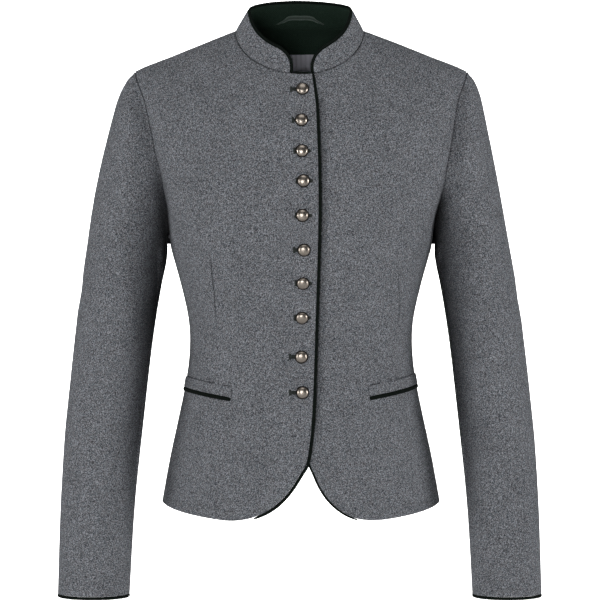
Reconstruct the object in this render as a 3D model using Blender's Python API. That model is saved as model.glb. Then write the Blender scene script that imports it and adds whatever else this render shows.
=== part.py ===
"""Tyrolean loden jacket for a woman, buttoned up and filled out as when worn.

Metres, +Z up, +Y to the wearer's back. The origin is on the centre line, level with
the side neck points, where the collar's foot rests on the wearer's shoulders.
The wearer's right side is at -X, and the right front lies over the left one.
"""

import bisect
import math

import bpy
from mathutils import Vector

MM = 0.001

# Cloth and seams
WALL = 2.2 * MM              # loden of the body, sleeves and collar
SEAM_GAP = 0.3 * MM          # free space between neighbouring pieces
FACING_WALL = 1.2 * MM
LINING_WALL = 1.0 * MM
INSIDE_GAP = 0.5 * MM        # between the loden and the layers inside the neck
PIPING_WIDTH = 3.5 * MM
PIPING_WALL = 2.2 * MM
PIPING_DEPTH = 1.0 * MM       # its centre below the cloth's outer face

# Body rings from the neck seam down to the hem. `level` runs down the side, and each
# ring's height is given at the side, the centre front and the centre back.
BODY_RINGS = {
    "level":  (0, 45, 90, 131, 150, 170, 200, 240, 290, 340, 390, 447, 490, 547, 604, 655),
    "ridge":   (76.7, 118.8, 160.6, 196, 199, 198, 193, 184, 170, 155, 141, 130.5, 134, 145, 156.5, 165),
    "half":    (76.7, 111, 141, 164, 173, 181, 188, 184, 170, 155, 141, 130.5, 134, 145, 156.5, 165),
    "front":   (60, 70, 80, 88, 91.5, 95, 101, 109, 115.5, 115, 108.5, 99.5, 101, 107.5, 114, 118),
    "back":    (62, 79, 92, 101, 104, 107, 111, 114, 112, 106, 96, 87, 93, 106, 116, 121),
    "z_side":  (-1.3, -17.5, -34, -49, -59, -76, -107, -152, -203, -254, -303, -360, -403, -459, -513, -560),
    "z_front": (-43, -60, -79, -98, -108, -121, -144, -176, -215, -256, -303, -360, -403, -460, -518.5, -568.5),
    "z_back":  (-1, -16, -37, -60, -73, -89, -116, -156, -205, -255, -303, -358, -398, -450, -498, -540),
    "square":  (2.0, 2.05, 2.1, 2.15, 2.2, 2.25, 2.3, 2.3, 2.35, 2.4, 2.35, 2.25, 2.1, 2, 1.92, 1.88),
}
RIDGE_REACH = 8              # how closely the shoulder's `ridge` width keeps to the side
NECK_SHIFT = {"x": -1.6, "levels": 45}  # the neck seam sits a little to the wearer's right
RIDGE_ROUNDING = 0.14        # how softly the shoulder ridge turns from front to back
FRONT_FALL = 0.85            # how a ring's height falls from the ridge to the centre
BUST = {"x": 84, "z": -226, "spread_x": 40, "spread_z": 50, "fullness": 8}

# Armhole: its top at the shoulder tip and its foot under the arm, as levels
ARMHOLE_TOP = 128.0
ARMHOLE_FOOT = 341.0
ARMHOLE_CUT = 27.0           # degrees that it is cut in from the side seam
ARMHOLE_BULGE = 1.1
ARMHOLE_LOW = 0.25           # how much wider it is in its lower half

# Front edge of the overlapping right front, and of the left front beneath it.
# A cutaway point is (x, z): the fronts part at the notch and round off to the hem.
RIGHT_EDGE = {
    "x": (16.2, 21.2, 24.2, 22.9, 20.4, 17.8, 15.0, 10.6, 2.6, -5.9, -16.4, -32.8, -54, -84),
    "z": (-43, -82, -184, -254, -339, -422, -468, -494, -510, -524, -538, -552.8, -563, -567.8),
}
LEFT_EDGE = {
    "x": (-16, -17, -17, -17, -15, -11, -2, 8.6, 14, 20, 29.4, 45.7, 66, 94),
    "z": (-43, -82, -184, -254, -339, -422, -468, -494, -510, -524, -539, -554.8, -564.8, -567.8),
}
NOTCH_ROW = 7                # row of both tables where the fronts part
CUTAWAY_TOP_LEVEL = 584.0    # side level opposite the notch
HEM_LEVEL = 655.0

# Collar
COLLAR_HEIGHT = {"front": 26, "back": 29.3}
COLLAR_TOP_HALF = 60.8
COLLAR_TOP_FRONT = 51
COLLAR_TOP_BACK = 51
COLLAR_TOP_SHIFT = -1.6      # the top leans a little to the wearer's right
COLLAR_RISE = {"front": 26, "back": 29}
COLLAR_END_X = {"left": 16, "right": 13}
COLLAR_CORNER = 25
COLLAR_CORNER_FOOT = 6

# Sleeves, rows down from the armhole's foot: centre line and half sizes
SLEEVE_ROWS = {
    "z":      (-47, -58, -75, -103, -150, -205, -262, -292, -331, -388, -474, -560, -646, -664.5),
    "outer":  (202, 211, 216, 222.5, 234.5, 246, 254, 258.5, 264, 270.5, 279.5, 285, 287.5, 288),
    "inner":  (101, 109.5, 115, 122.5, 134.5, 145, 157, 162, 169.5, 177, 186.5, 196, 201, 202),
    "mid_y":  (0, 0, 0, 0, 0, -1, -2, -3, -5, -9, -17, -27, -38, -41),
    "half_y": (50, 52, 53, 54, 55, 55, 55, 54.5, 53, 51, 46, 42, 39, 38),
}
SLEEVE_BLEND = 9.0           # distance over which the cap leaves the armhole seam
BICEP_Z = -292.0
CUFF_Z = -664.5
CUFF_TILT = 0.07             # the cuff's front edge is higher, across the bent forearm

# Buttons
BUTTON_DIAMETER = 15.5 * MM
BUTTON_DOME = 4.6 * MM
BUTTON_PLACES = {
    "x": (1.7, 0.6, 1.2, 2.9, 1.7, 3.5, 2.3, 1.2, 0.6, 1.8),
    "z": (-59.8, -94, -128.8, -162.8, -202.3, -242.9, -282.8, -324.6, -371.6, -413.6),
    "slit": (-3.5, -0.5, 1.0, 1.8, 2.0, -1.8, 1.3, 1.3, -3.8, -5.0),
}
BUTTONHOLE = {"length": 16 * MM, "height": 3.2 * MM}
SHANK_RADIUS = 1.3 * MM

# Hip pockets: a welt with a piped lower edge, from the front round to the side
POCKETS = {
    "right": {"inner_x": 82, "inner_z": -422.2, "outer_z": -422.0},
    "left":  {"inner_x": 80.4, "inner_z": -420.8, "outer_z": -418.4},
}
POCKET_OUTER_COLUMN = 13.5
POCKET_BOW = 2.2             # how much higher a pocket's middle runs than its ends
WELT_HEIGHT = 12.0
WELT_WALL = 1.4 * MM
POCKET_PIPING = {"width": 4.6 * MM, "wall": 1.4 * MM}

# Inside of the neck, as rows and columns of the back panel's grid
FACING_FOOT_ROW = 5
LINING_ROWS = (5, 11)
LINING_COLUMNS = (8, 14)
HANGER = {"half_span": 29, "rise": 8.5, "foot": 1.6, "width": 5}


def smooth_step(value):
    value = min(1.0, max(0.0, value))
    return value * value * (3 - 2 * value)


def slopes(xs, ys):
    """Monotone cubic slopes at the rows of a table."""
    steps = [(ys[i + 1] - ys[i]) / (xs[i + 1] - xs[i]) for i in range(len(xs) - 1)]
    inner = []
    for before, after in zip(steps, steps[1:]):
        inner.append(0.0 if before * after <= 0 else 2 * before * after / (before + after))
    return [steps[0]] + inner + [steps[-1]]


def curve_through(xs, ys):
    """A smooth function through the rows of two columns, with no overshoot."""
    if xs[0] > xs[-1]:
        xs, ys = xs[::-1], ys[::-1]
    tangents = slopes(xs, ys)

    def value(x):
        x = min(xs[-1], max(xs[0], x))
        i = min(len(xs) - 2, max(0, bisect.bisect_right(xs, x) - 1))
        step = xs[i + 1] - xs[i]
        t = (x - xs[i]) / step
        from_start = (1 + 2 * t) * (1 - t) ** 2 * ys[i] + t * (1 - t) ** 2 * step * tangents[i]
        to_end = t * t * (3 - 2 * t) * ys[i + 1] + t * t * (t - 1) * step * tangents[i + 1]
        return from_start + to_end

    return value


RING = {name: curve_through(BODY_RINGS["level"], BODY_RINGS[name])
        for name in BODY_RINGS if name != "level"}


def rounded_fall(cosine):
    """How far a ring has fallen from its side height: 0 at the side, 1 at the centre."""
    eased = (cosine * cosine + RIDGE_ROUNDING ** 2) ** (FRONT_FALL / 2)
    start = RIDGE_ROUNDING ** FRONT_FALL
    full = (1 + RIDGE_ROUNDING ** 2) ** (FRONT_FALL / 2)
    return (eased - start) / (full - start)


def body_point(angle, level):
    """Point of the outer surface. angle 0 is the centre front, 90 the side at +X."""
    sine = math.sin(math.radians(angle))
    cosine = math.cos(math.radians(angle))
    power = RING["square"](level)
    radius = (abs(sine) ** power + abs(cosine) ** power) ** (-1 / power)
    half = RING["half"](level)
    half += (RING["ridge"](level) - half) * abs(sine) ** RIDGE_REACH
    x = half * sine * radius
    x += NECK_SHIFT["x"] * (1 - smooth_step(level / NECK_SHIFT["levels"])) * abs(sine)
    fall = rounded_fall(cosine)
    z_side = RING["z_side"](level)
    if cosine > 0:
        y = -RING["front"](level) * cosine * radius
        z = z_side + (RING["z_front"](level) - z_side) * fall
        sideways = (abs(x) - BUST["x"]) / BUST["spread_x"]
        upright = (z - BUST["z"]) / BUST["spread_z"]
        bulge = BUST["fullness"] * math.exp(-sideways ** 2 - upright ** 2)
        y -= bulge * smooth_step(cosine / 0.5)
    else:
        y = -RING["back"](level) * cosine * radius
        z = z_side + (RING["z_back"](level) - z_side) * fall
    return Vector((x, y, z)) * MM


def body_normal(angle, level):
    """Outward unit normal of the body surface."""
    level = min(HEM_LEVEL - 0.6, max(0.6, level))
    across = body_point(angle + 0.4, level) - body_point(angle - 0.4, level)
    down = body_point(angle, level + 0.5) - body_point(angle, level - 0.5)
    return down.cross(across).normalized()


def angle_at(x, level):
    """Angle on the front at which a ring passes x, in millimetres."""
    low, high = -80.0, 80.0
    for _ in range(40):
        middle = (low + high) / 2
        if body_point(middle, level).x < x * MM:
            low = middle
        else:
            high = middle
    return (low + high) / 2


def place_on_front(x, z):
    """Angle and level of the front surface at x and z, in millimetres."""
    low, high = 0.0, HEM_LEVEL
    for _ in range(40):
        level = (low + high) / 2
        angle = angle_at(x, level)
        if body_point(angle, level).z > z * MM:
            low = level
        else:
            high = level
    return angle, level


def armhole(turn):
    """Angle and level of the armhole. turn 0 is the shoulder tip, 180 under the arm."""
    radians = math.radians(turn)
    level = ARMHOLE_TOP + (ARMHOLE_FOOT - ARMHOLE_TOP) * (1 - math.cos(radians)) / 2
    sine = math.sin(radians)
    cut = ARMHOLE_CUT * abs(sine) ** ARMHOLE_BULGE * (1 - ARMHOLE_LOW * math.cos(radians))
    cut = math.copysign(cut, sine)
    return 90 - cut, level


def curve_by_length(table):
    """Functions for x and z along an edge, by the distance from its first row."""
    xs, zs = table["x"], table["z"]
    lengths = [0.0]
    for i in range(1, len(xs)):
        lengths.append(lengths[-1] + math.hypot(xs[i] - xs[i - 1], zs[i] - zs[i - 1]))
    return curve_through(lengths, xs), curve_through(lengths, zs), lengths


class FrontEdge:
    """The free edge of a front, from the neck down to where the hem runs level."""

    def __init__(self, table, side):
        self.x, self.z, self.lengths = curve_by_length(table)
        self.side = side
        self.notch = self.lengths[NOTCH_ROW]
        self.end = self.lengths[-1]

    def inset(self, distance, amount):
        """x and z at a distance along the edge, moved into the cloth by an amount."""
        ahead = min(self.end, distance + 1)
        behind = max(0.0, distance - 1)
        run_x = self.x(ahead) - self.x(behind)
        run_z = self.z(ahead) - self.z(behind)
        run = math.hypot(run_x, run_z)
        x = self.x(distance) - self.side * amount * run_z / run
        z = self.z(distance) + self.side * amount * run_x / run
        return x, z

    def distance_at(self, z):
        low, high = 0.0, self.notch
        for _ in range(40):
            middle = (low + high) / 2
            if self.z(middle) > z:
                low = middle
            else:
                high = middle
        return low


RIGHT_FRONT_EDGE = FrontEdge(RIGHT_EDGE, -1)
LEFT_FRONT_EDGE = FrontEdge(LEFT_EDGE, 1)
PIPING_END = 12.0            # how far before the level hem the front piping has turned under
PIPING_TAPER = 34.0          # over which it narrows before that
LEFT_PIPING_WIDTH = 1.9 * MM
BARE_INSET = 0.6             # how far an unpiped edge is rolled in from the outline
LEFT_PIPING_START = 25       # row of the left front at which its piping shows at the notch
NECK_PIPING_START = -8.6 * MM  # where the right front's piping begins, beside the collar's end


def spread(first, last, count):
    return [first + (last - first) * i / count for i in range(count + 1)]


def make_material(name, colour, roughness, metallic=0.0):
    material = bpy.data.materials.new(name)
    material.use_nodes = True
    shader = material.node_tree.nodes["Principled BSDF"]
    shader.inputs["Base Color"].default_value = (*colour, 1.0)
    shader.inputs["Roughness"].default_value = roughness
    shader.inputs["Metallic"].default_value = metallic
    material.diffuse_color = (*colour, 1.0)
    return material


def make_object(name, points, faces, material, smooth=True):
    mesh = bpy.data.meshes.new(name)
    mesh.from_pydata(points, [], faces)
    mesh.materials.append(material)
    for polygon in mesh.polygons:
        polygon.use_smooth = smooth
    item = bpy.data.objects.new(name, mesh)
    bpy.context.collection.objects.link(item)
    return item


def turned_right_way(points, faces):
    """Faces wound so that the closed body's volume is positive."""
    volume = 0.0
    for face in faces:
        first = points[face[0]]
        for b, c in zip(face[1:-1], face[2:]):
            volume += first.dot(points[b].cross(points[c]))
    return faces if volume > 0 else [tuple(reversed(face)) for face in faces]


def make_sheet(name, rows, wall, material, outset=0.0, around=False):
    """A closed wall of cloth. rows hold (point, outward normal), and `around` joins each
    row's end to its start. outset may be a number or a function of the point."""
    height, width = len(rows), len(rows[0])
    outer, inner = [], []
    for row in rows:
        for point, normal in row:
            rise = outset(point) if callable(outset) else outset
            outer.append(point + normal * rise)
            inner.append(point + normal * (rise - wall))
    points = outer + inner
    back = len(outer)
    faces = []
    columns = width if around else width - 1
    for i in range(height - 1):
        for j in range(columns):
            a, b = i * width + j, i * width + (j + 1) % width
            c, d = b + width, a + width
            faces.append((a, b, c, d))
            faces.append((back + d, back + c, back + b, back + a))
    for j in range(columns):
        a, b = j, (j + 1) % width
        faces.append((b, a, back + a, back + b))
        a, b = a + (height - 1) * width, b + (height - 1) * width
        faces.append((a, b, back + b, back + a))
    if not around:
        for i in range(height - 1):
            a, d = i * width, (i + 1) * width
            faces.append((a, d, back + d, back + a))
            a, d = a + width - 1, d + width - 1
            faces.append((d, a, back + a, back + d))
    return make_object(name, points, turned_right_way(points, faces), material)


def with_normals(rows, around=False):
    """Pairs each point of a grid with the unit normal of the surface through it."""
    height, width = len(rows), len(rows[0])
    result = []
    for i in range(height):
        line = []
        for j in range(width):
            down = rows[min(height - 1, i + 1)][j] - rows[max(0, i - 1)][j]
            if around:
                across = rows[i][(j + 1) % width] - rows[i][j - 1]
            else:
                across = rows[i][min(width - 1, j + 1)] - rows[i][max(0, j - 1)]
            line.append((rows[i][j], down.cross(across).normalized()))
        result.append(line)
    return result


def make_bead(name, path, width, thickness, material, closed=False, sides=6):
    """Piping along a path of (centre, normal, sideways) frames. Its width is one number,
    or one for each frame."""
    widths = width if isinstance(width, list) else [width] * len(path)
    points, faces = [], []
    for (centre, normal, sideways), across in zip(path, widths):
        for k in range(sides):
            turn = 2 * math.pi * (k + 0.5) / sides
            points.append(centre + sideways * (math.cos(turn) * across / 2)
                          + normal * (math.sin(turn) * thickness / 2))
    count = len(path)
    for i in range(count if closed else count - 1):
        here, there = i * sides, ((i + 1) % count) * sides
        for k in range(sides):
            m = (k + 1) % sides
            faces.append((here + k, here + m, there + m, there + k))
    if not closed:
        faces.append(tuple(reversed(range(sides))))
        faces.append(tuple((count - 1) * sides + k for k in range(sides)))
    return make_object(name, points, turned_right_way(points, faces), material)


def beside(points, normals, distance, depth):
    """Frames of a bead beside a line on a surface: `distance` along the surface from the
    line, to its left hand, and `depth` below the surface. A corner is mitred. The
    distance is one number, or one for each point."""
    distances = distance if isinstance(distance, list) else [distance] * len(points)
    frames = []
    for i, (point, normal) in enumerate(zip(points, normals)):
        ahead = points[min(len(points) - 1, i + 1)] - point
        behind = point - points[max(0, i - 1)]
        ahead = ahead.normalized() if ahead.length > 0 else behind.normalized()
        behind = behind.normalized() if behind.length > 0 else ahead
        half_turn = math.sqrt((1 + ahead.dot(behind)) / 2)
        sideways = normal.cross(ahead + behind).normalized()
        centre = point + sideways * (distances[i] / max(0.6, half_turn)) - normal * depth
        frames.append((centre, normal, sideways))
    return frames


# Body panels

SHOULDER_LEVELS = spread(0.15, ARMHOLE_TOP, 7)
ARMHOLE_TURNS = spread(0, 180, 12)[1:-1]
SIDE_LEVELS = spread(ARMHOLE_FOOT, CUTAWAY_TOP_LEVEL, 8)
CUTAWAY_STEPS = 9
FRONT_COLUMNS = 14
BACK_COLUMNS = 22
NECK_DIP = 1.4               # levels by which the right front's top edge dips at the centre


def seam_angle(level):
    """Half the seam's gap at the side, as an angle."""
    return math.degrees(SEAM_GAP / 2 / (RING["front"](level) * MM))


def side_boundary(front):
    """(angle, level) down the shoulder seam, armhole and side seam of one half."""
    outward = -1 if front else 1
    boundary = [(90 + outward * seam_angle(level), level) for level in SHOULDER_LEVELS]
    for turn in ARMHOLE_TURNS:
        boundary.append(armhole(turn if front else -turn))
    boundary += [(90 + outward * seam_angle(level), level) for level in SIDE_LEVELS]
    for level in spread(CUTAWAY_TOP_LEVEL, HEM_LEVEL, CUTAWAY_STEPS)[1:]:
        boundary.append((90 + outward * seam_angle(level), level))
    return boundary


def piping_width(edge, distance, full):
    """Width of a front's piping at a distance along its edge, or nothing past its end."""
    share = (edge.end - PIPING_END - distance) / PIPING_TAPER
    return full * min(1.0, share) if share > 0.3 else 0.0


def front_rows(edge, dip, piping):
    """Grid of a front panel, from its free edge to the side, and the width of the piping
    on each row that has it. `dip` lowers the neck line where it passes the collar's end."""
    boundary = side_boundary(front=True)
    upper = len(boundary) - CUTAWAY_STEPS
    rows = []
    widths = []
    for i, (end_angle, end_level) in enumerate(boundary):
        if i < upper:
            distance = edge.distance_at(RING["z_front"](end_level))
        else:
            step = (i - upper + 1) / CUTAWAY_STEPS
            distance = edge.notch + (edge.end - edge.notch) * step
        width = piping_width(edge, distance, piping)
        if width:
            widths.append(width)
        x, z = edge.inset(distance, (width + SEAM_GAP) / MM if width else BARE_INSET)
        if i < upper:
            start = (angle_at(x, end_level) * edge.side, end_level)
        else:
            angle, level = place_on_front(x, z)
            start = (angle * edge.side, level)
        row = []
        for v in spread(0, 1, FRONT_COLUMNS):
            angle = start[0] + (end_angle - start[0]) * v
            level = start[1] + (end_level - start[1]) * v
            if i == 0:
                point = body_point(angle * edge.side, level)
                level += dip * smooth_step((17 - point.x * edge.side / MM) / 8)
            row.append((angle * edge.side, level))
        rows.append(row)
    return on_body(rows), widths


def on_body(rows):
    return [[(body_point(a, l), body_normal(a, l)) for a, l in row] for row in rows]


def underlap(point):
    """The left front lies one wall and one gap lower under the right front."""
    edge = RIGHT_FRONT_EDGE
    z = point.z / MM
    start = edge.x(edge.distance_at(z)) + 1.0
    rise = smooth_step((point.x / MM - start) / 26)
    return -(WALL + SEAM_GAP) * (1 - rise)


def back_rows():
    rows = []
    for angle, level in side_boundary(front=False):
        rows.append([(a, level) for a in spread(angle, 360 - angle, BACK_COLUMNS)])
    return on_body(rows)


def between(first, second, share):
    """A (point, normal) part of the way from one to another."""
    return first[0].lerp(second[0], share), first[1].lerp(second[1], share).normalized()


# Sleeves

SLEEVE_COLUMNS = 24
CAP_ROWS = 8
ARM_ROWS = 7
SEAM_ROLL = 2.2              # first row of the sleeve beyond its seam, in millimetres
# The left sleeve hangs a little closer to the body
LEFT_SLEEVE = {"z": (-47, -100, -200, -300, -470, -664.5), "closer": (0, 5, 8.5, 5, 3.5, 3)}

SLEEVE = {name: curve_through(SLEEVE_ROWS["z"], SLEEVE_ROWS[name])
          for name in SLEEVE_ROWS if name != "z"}


def arm_point(turn, z, closer):
    """Point of the sleeve's tube. turn 0 is its outer side, 90 its front."""
    outer = SLEEVE["outer"](z) - closer(z)
    inner = SLEEVE["inner"](z)
    radians = math.radians(turn)
    x = (outer + inner) / 2 + (outer - inner) / 2 * math.cos(radians)
    y = SLEEVE["mid_y"](z) - SLEEVE["half_y"](z) * math.sin(radians)
    return Vector((x, y, z))


def sleeve_start(turn):
    """Seam point of the sleeve, its body normal, and the roll that leaves the seam."""
    place = armhole(turn)
    point = body_point(*place) / MM
    normal = body_normal(*place)
    along = body_point(*armhole(turn + 2)) - body_point(*armhole(turn - 2))
    inward = normal.cross(along).normalized()
    if inward.dot(Vector((190, 0, -155)) - point) < 0:
        inward = -inward
    lift = 1.2 * (1 - math.cos(math.radians(turn))) / 2
    start = point + inward * (SEAM_GAP / MM)
    roll = start + (inward + normal * lift).normalized() * SEAM_ROLL
    return start, normal, roll


def sleeve_rows(closer):
    turns = [360 * k / SLEEVE_COLUMNS for k in range(SLEEVE_COLUMNS)]
    starts = [sleeve_start(turn if turn <= 180 else turn - 360) for turn in turns]
    rows = [[start for start, _, _ in starts], [roll for _, _, roll in starts]]
    for v in spread(0, 1, CAP_ROWS)[1:]:
        row = []
        for turn, (_, _, roll) in zip(turns, starts):
            drop = (roll.z - BICEP_Z) * v ** 1.3
            full = roll.z - BICEP_Z
            arm = arm_point(turn, roll.z - drop, closer)
            pull = (1 - math.exp(-drop / SLEEVE_BLEND)) / (1 - math.exp(-full / SLEEVE_BLEND))
            point = roll.lerp(arm, pull)
            row.append(Vector((point.x, point.y, roll.z - drop)))
        rows.append(row)
    for v in spread(0, 1, ARM_ROWS)[1:]:
        z = BICEP_Z + (CUFF_Z - BICEP_Z) * v
        row = []
        for turn in turns:
            point = arm_point(turn, z, closer)
            point.z += CUFF_TILT * v * (SLEEVE["mid_y"](z) - point.y)
            row.append(point)
        rows.append(row)
    rows = [[point * MM for point in reversed(row)] for row in rows]
    rows = with_normals(rows, around=True)
    starts.reverse()
    rows[0] = [(point, start[1]) for (point, _), start in zip(rows[0], starts)]
    return rows


def mirrored(rows):
    flip = Vector((-1, 1, 1))
    return [[(point * flip, normal * flip) for point, normal in row] for row in rows]


def cuff_frames(rows):
    points = [point for point, _ in rows[-1]]
    above = [point for point, _ in rows[-2]]
    frames = []
    for point, upper, (_, normal) in zip(points, above, rows[-1]):
        down = (point - upper).normalized()
        centre = point + down * (SEAM_GAP + PIPING_WIDTH / 2) - normal * PIPING_DEPTH
        frames.append((centre, normal, down))
    return frames


def make_sleeves(loden, trim):
    left_closer = curve_through(LEFT_SLEEVE["z"], LEFT_SLEEVE["closer"])
    for name, closer in (("right", lambda z: 0.0), ("left", left_closer)):
        rows = sleeve_rows(closer)
        if name == "right":
            rows = mirrored(rows)
        make_sheet(f"sleeve_{name}", rows, WALL, loden, around=True)
        make_bead(f"piping_cuff_{name}", cuff_frames(rows), PIPING_WIDTH, PIPING_WALL, trim,
                  closed=True)


# Collar and the inside of the neck

COLLAR_ROWS = 2
CORNER_COLUMNS = 5
COLLAR_COLUMNS = 30


def collar_height(angle, distance):
    """Height of the stand at an angle and a distance from its end, in millimetres."""
    share = smooth_step(0.8 * (1 - math.cos(math.radians(angle))))
    full = COLLAR_HEIGHT["front"] + (COLLAR_HEIGHT["back"] - COLLAR_HEIGHT["front"]) * share
    if distance >= COLLAR_CORNER:
        return full
    lean = 1 - distance / COLLAR_CORNER
    return COLLAR_CORNER_FOOT + (full - COLLAR_CORNER_FOOT) * math.sqrt(1 - lean * lean)


def collar_end(end_x):
    """(angle, height) round the front corner of the collar that ends at end_x."""
    end = []
    for turn in spread(0, 90, CORNER_COLUMNS):
        distance = COLLAR_CORNER * (1 - math.cos(math.radians(turn)))
        angle = angle_at(end_x + distance * 0.96, 0)
        end.append((angle, collar_height(angle, distance)))
    return end


def collar_angles():
    """(angle, height) along the collar, closer together round its front corners."""
    left, right = collar_end(COLLAR_END_X["left"]), collar_end(COLLAR_END_X["right"])
    spaced = spread(left[-1][0], 360 - right[-1][0], COLLAR_COLUMNS)[1:-1]
    middle = [(angle, collar_height(angle, COLLAR_CORNER)) for angle in spaced]
    return left + middle + [(360 - angle, height) for angle, height in reversed(right)]


def collar_point(angle, height):
    """Point of the collar's outer face, at a height above the neck seam."""
    foot = body_point(angle, 0)
    sine = math.sin(math.radians(angle))
    cosine = math.cos(math.radians(angle))
    depth = COLLAR_TOP_FRONT if cosine > 0 else COLLAR_TOP_BACK
    share = smooth_step((1 - cosine) / 2)
    rise = COLLAR_RISE["front"] + (COLLAR_RISE["back"] - COLLAR_RISE["front"]) * share
    x = COLLAR_TOP_HALF * sine + COLLAR_TOP_SHIFT * share
    top = Vector((x, -depth * cosine, foot.z / MM + rise)) * MM
    return foot + (top - foot).normalized() * (SEAM_GAP + height * MM)


def collar_rows():
    rows = []
    for v in spread(1, 0, COLLAR_ROWS):
        rows.append([collar_point(angle, height * v) for angle, height in collar_angles()])
    return with_normals(rows)


def collar_outline(rows):
    """Points and normals up one end of the collar, along its top and down the other."""
    start = [row[0] for row in rows[:0:-1]]
    end = [row[-1] for row in rows[1:]]
    line = start + rows[0] + end
    return [point for point, _ in line], [normal for _, normal in line]


def lowered_end(point, normal):
    """The collar's left end goes under the right front, as the left front does."""
    if point.x < 0 or point.y > 0:
        return point
    return point + normal * (1.45 * underlap(point))


def make_collar(loden, trim):
    rows = collar_rows()
    if rows[0][len(rows[0]) // 2][1].y < 0:
        rows = [[(point, -normal) for point, normal in row] for row in rows]
    rows = [[(lowered_end(point, normal), normal) for point, normal in row] for row in rows]
    make_sheet("collar", rows, WALL, loden)
    make_sheet("collar_facing", rows, FACING_WALL, trim, outset=-(WALL + INSIDE_GAP))
    points, normals = collar_outline(rows)
    frames = beside(points, normals, SEAM_GAP + PIPING_WIDTH / 2, WALL * 0.6)
    out_of_collar = (points[len(points) // 2] - rows[1][len(rows[1]) // 2][0]).normalized()
    if frames[len(frames) // 2][2].dot(out_of_collar) < 0:
        frames = beside(points, normals, -(SEAM_GAP + PIPING_WIDTH / 2), WALL * 0.6)
    make_bead("piping_collar", frames, PIPING_WIDTH, PIPING_WALL, trim)


def make_neck_inside(back, trim, lining):
    """The neck facing and the lining below it, from the back panel's own points."""
    under = -(WALL + INSIDE_GAP)
    first = [between(a, b, 0.06) for a, b in zip(back[0], back[1])]
    facing = [row[1:-1] for row in [first] + back[1:FACING_FOOT_ROW + 1]]
    make_sheet("neck_facing", facing, FACING_WALL, trim, outset=under)
    top, foot = LINING_ROWS
    left, right = LINING_COLUMNS
    first = [between(a, b, 0.03) for a, b in zip(back[top], back[top + 1])]
    rows = [row[left:right + 1] for row in [first] + back[top + 1:foot + 1]]
    make_sheet("back_lining", rows, LINING_WALL, lining, outset=under)


def make_hanger(trim):
    """A tape loop that stands against the collar's facing."""
    rows = []
    for edge in (0.5, -0.5):
        row = []
        for x in spread(-HANGER["half_span"], HANGER["half_span"], 16):
            share = x / HANGER["half_span"]
            height = HANGER["foot"] + HANGER["rise"] * (1 - abs(share) ** 3)
            slope = 3 * HANGER["rise"] * share * abs(share) / HANGER["half_span"]
            run = math.hypot(1, slope)
            across = x + edge * HANGER["width"] * slope / run
            angle = 180 - math.degrees(math.asin(across / BODY_RINGS["half"][0]))
            row.append(collar_point(angle, height + edge * HANGER["width"] / run))
        rows.append(row)
    rows = with_normals(rows)
    if rows[0][0][1].y < 0:
        rows = [[(point, -normal) for point, normal in row] for row in rows]
    depth = WALL + FACING_WALL + INSIDE_GAP + SEAM_GAP
    make_sheet("hanger_loop", rows, 1.0 * MM, trim, outset=-depth)


# Piping of the fronts

def make_front_piping(name, line, widths, layer, trim):
    """Piping beside a front's free edge, given as its (point, normal) pairs."""
    points = [point + normal * layer(point) for point, normal in line]
    normals = [normal for _, normal in line]
    frames = beside(points, normals, [SEAM_GAP + width / 2 for width in widths], PIPING_DEPTH)
    make_bead(name, frames, widths, PIPING_WALL, trim)


def make_front_pipings(right_rows, right_widths, left_rows, left_widths, trim):
    neck = right_rows[0][:0:-1]
    past = next(j for j, (point, _) in enumerate(neck) if point.x > NECK_PIPING_START)
    before, after = neck[past - 1], neck[past]
    share = (NECK_PIPING_START - before[0].x) / (after[0].x - before[0].x)
    top = [between(before, after, share)] + neck[past:]
    side = [row[0] for row in right_rows[:len(right_widths)]]
    widths = [PIPING_WIDTH] * len(top) + right_widths
    make_front_piping("piping_front_right", top + side, widths, lambda point: 0.0, trim)
    left = [row[0] for row in left_rows[LEFT_PIPING_START:len(left_widths)]]
    left.reverse()
    make_front_piping("piping_front_left", left, left_widths[:LEFT_PIPING_START - 1:-1], underlap, trim)


# Pockets

def at_height(rows, column, z):
    """(point, normal) on a panel's grid, at a height down one of its columns."""
    whole = min(int(column), len(rows[0]) - 2)
    share = column - whole
    line = [between(row[whole], row[whole + 1], share) for row in rows]
    for above, below in zip(line, line[1:]):
        if above[0].z >= z >= below[0].z:
            return between(above, below, (above[0].z - z) / (above[0].z - below[0].z))
    return line[-1]


def pocket_columns(rows, pocket):
    """Column places of a pocket, from its inner end round to the side."""
    z = pocket["inner_z"] * MM
    reach = [abs(at_height(rows, j, z)[0].x) / MM for j in range(FRONT_COLUMNS + 1)]
    start = next(j for j in range(2, FRONT_COLUMNS) if reach[j] > pocket["inner_x"])
    share = (pocket["inner_x"] - reach[start - 1]) / (reach[start] - reach[start - 1])
    return [start - 1 + share] + list(range(start, FRONT_COLUMNS)) + [POCKET_OUTER_COLUMN]


def pocket_line(rows, pocket, columns, above):
    """(point, normal) pairs along a pocket, at a height above the welt's foot."""
    line = []
    for j in columns:
        share = (j - columns[0]) / (columns[-1] - columns[0])
        foot = pocket["inner_z"] + (pocket["outer_z"] - pocket["inner_z"]) * share
        line.append(at_height(rows, j, (foot + 4 * POCKET_BOW * share * (1 - share) + above) * MM))
    return line


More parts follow.
